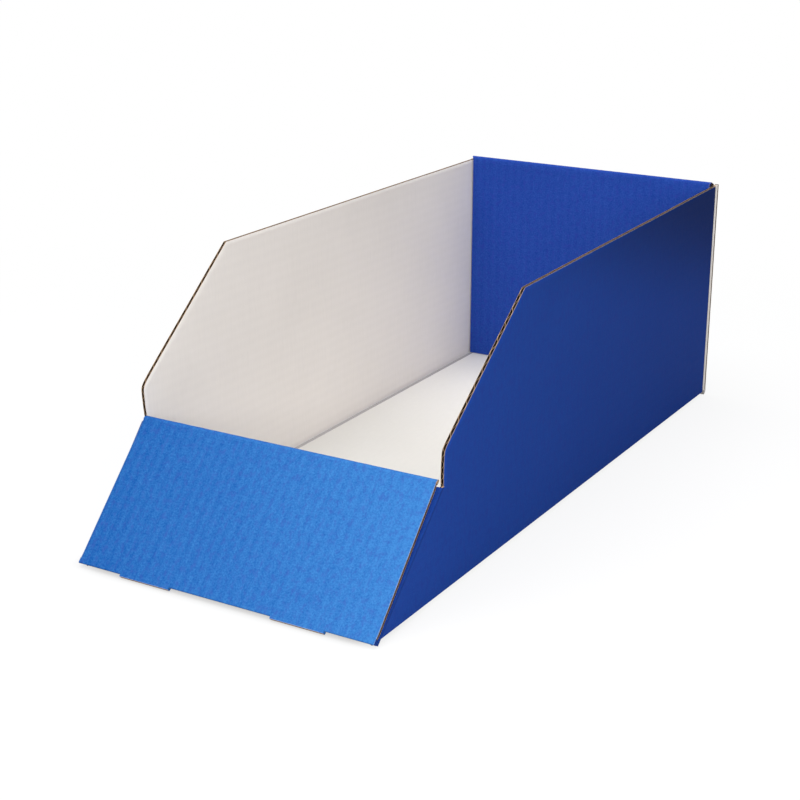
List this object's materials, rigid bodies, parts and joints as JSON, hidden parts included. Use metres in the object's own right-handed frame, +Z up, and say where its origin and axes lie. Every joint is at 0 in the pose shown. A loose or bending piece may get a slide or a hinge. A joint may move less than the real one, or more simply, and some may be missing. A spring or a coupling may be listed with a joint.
{
  "type": "counter display bin",
  "caption": "Open-front counter bin folded from fluted board, with a sloping front ramp, cut-away side walls and a rolled-over back.",
  "frame": {"origin": "middle of the bin on the surface that it stands on", "axes": "+X to the right seen from the front, +Y from the ramp to the back, +Z up"},
  "size_m": [0.2058, 0.4687, 0.1584],
  "materials": {
    "printed_paper": "matt blue print on white paper",
    "white_paper": "matt white paper",
    "kraft_flutes": "brown fluted paper",
    "bare_fold": "crushed board with bare white paper",
    "printed_fold": "crushed board with blue print"
  },
  "bodies": {
    "bin": {"base_outside_paper": "printed_paper", "base_flutes": "kraft_flutes", "base_inside_paper": "white_paper", "left_wall_outside_paper": "printed_paper", "left_wall_flutes": "kraft_flutes", "left_wall_inside_paper": "white_paper", "right_wall_outside_paper": "printed_paper", "right_wall_flutes": "kraft_flutes", "right_wall_inside_paper": "white_paper", "front_ramp_outside_paper": "printed_paper", "front_ramp_flutes": "kraft_flutes", "front_ramp_inside_paper": "white_paper", "front_liner_outside_paper": "printed_paper", "front_liner_flutes": "kraft_flutes", "front_liner_inside_paper": "white_paper", "left_front_tab_outside_paper": "printed_paper", "left_front_tab_flutes": "kraft_flutes", "left_front_tab_inside_paper": "white_paper", "right_front_tab_outside_paper": "printed_paper", "right_front_tab_flutes": "kraft_flutes", "right_front_tab_inside_paper": "white_paper", "back_outside_paper": "printed_paper", "back_flutes": "kraft_flutes", "back_inside_paper": "white_paper", "left_base_fold": "printed_fold", "right_base_fold": "printed_fold", "front_base_fold": "bare_fold", "back_base_fold": "bare_fold", "left_front_fold": "printed_fold", "right_front_fold": "printed_fold", "left_back_fold": "bare_fold", "right_back_fold": "bare_fold", "front_top_fold": "printed_fold", "back_top_fold": "printed_fold", "front_slot_lips": "printed_fold", "front_lock_tabs": "printed_fold"},
    "crown": {"back_crown": "printed_fold"},
    "back_liner": {"back_liner_outside_paper": "printed_paper", "back_liner_flutes": "kraft_flutes", "back_liner_inside_paper": "white_paper", "back_lock_tabs": "printed_fold"},
    "left_back_tab": {"left_back_tab_outside_paper": "printed_paper", "left_back_tab_flutes": "kraft_flutes", "left_back_tab_inside_paper": "white_paper"},
    "right_back_tab": {"right_back_tab_outside_paper": "printed_paper", "right_back_tab_flutes": "kraft_flutes", "right_back_tab_inside_paper": "white_paper"}
  },
  "joints": [
    {"name": "liner_fold", "type": "hinge", "parent": "crown", "child": "back_liner", "pos_m": [0, 0.2272, 0.1569], "axis": [-1, 0, 0], "range_deg": [0, 114.4], "deforming": ["back_lock_tabs"]},
    {"name": "crown_fold", "type": "hinge", "parent": "bin", "child": "crown", "pos_m": [0, 0.2338, 0.1539], "axis": [-1, 0, 0], "range_deg": [0, 65.5]},
    {"name": "left_tab_fold", "type": "hinge", "parent": "bin", "child": "left_back_tab", "pos_m": [-0.0943, 0.229, 0.075], "axis": [0, 0, -1], "range_deg": [0, 85]},
    {"name": "right_tab_fold", "type": "hinge", "parent": "bin", "child": "right_back_tab", "pos_m": [0.0943, 0.229, 0.075], "axis": [0, 0, 1], "range_deg": [0, 85]}
  ],
  "couplings": [
    {"joint": "crown_fold", "follows": "liner_fold", "ratio": 0.5725},
    {"joint": "left_tab_fold", "follows": "liner_fold", "ratio": 0.743},
    {"joint": "right_tab_fold", "follows": "liner_fold", "ratio": 0.743}
  ]
}
